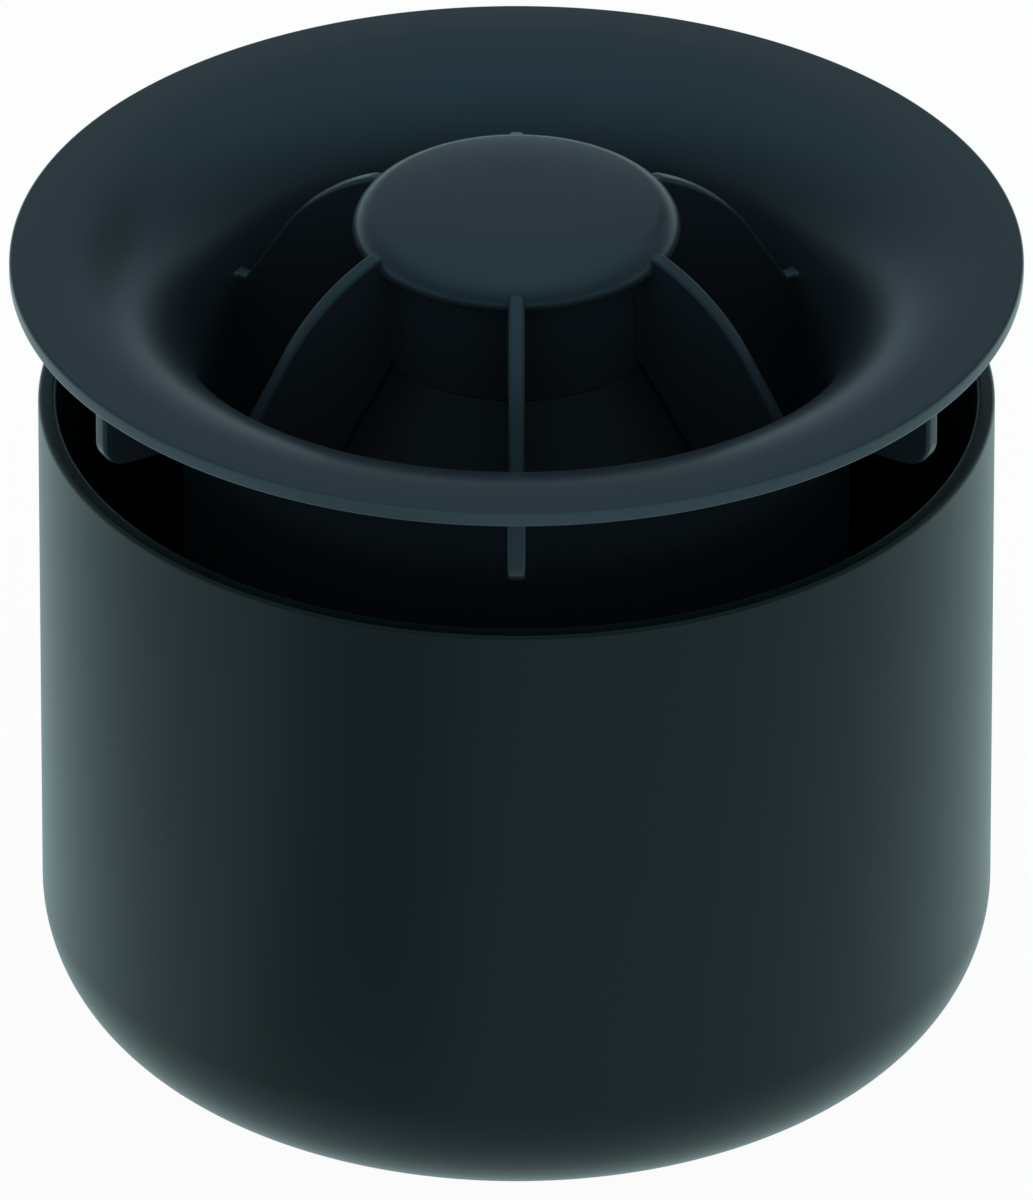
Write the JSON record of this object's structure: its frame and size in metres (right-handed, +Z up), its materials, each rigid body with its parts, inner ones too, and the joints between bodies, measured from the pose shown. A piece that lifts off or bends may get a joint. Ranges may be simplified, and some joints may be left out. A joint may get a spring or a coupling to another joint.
{
  "type": "membrane odour trap",
  "caption": "Drain odour trap: a round cup with a flanged dip tube inside, whose ribbed funnel throat holds a hub and a conical rubber membrane.",
  "frame": {"origin": "centre of the flat base of the cup", "axes": "+Z up along the trap's axis, out of the funnel; -Y is the side towards the camera, along one rib"},
  "size_m": [0.1098, 0.1098, 0.0988],
  "materials": {
    "cup_plastic": "black moulded polypropylene, satin",
    "insert_plastic": "blue-black moulded polypropylene, satin",
    "membrane_rubber": "black moulded rubber, matt",
    "retainer_plastic": "blue-black moulded polypropylene, satin"
  },
  "bodies": {
    "cup": {"cup": "cup_plastic"},
    "insert": {"flanged_dip_tube": "insert_plastic", "membrane": "membrane_rubber", "membrane_retainer": "retainer_plastic"}
  },
  "joints": [
    {"name": "insert_lift", "type": "slide", "parent": "cup", "child": "insert", "axis": [0, 0, 1], "range_m": [0, 0.055]}
  ]
}
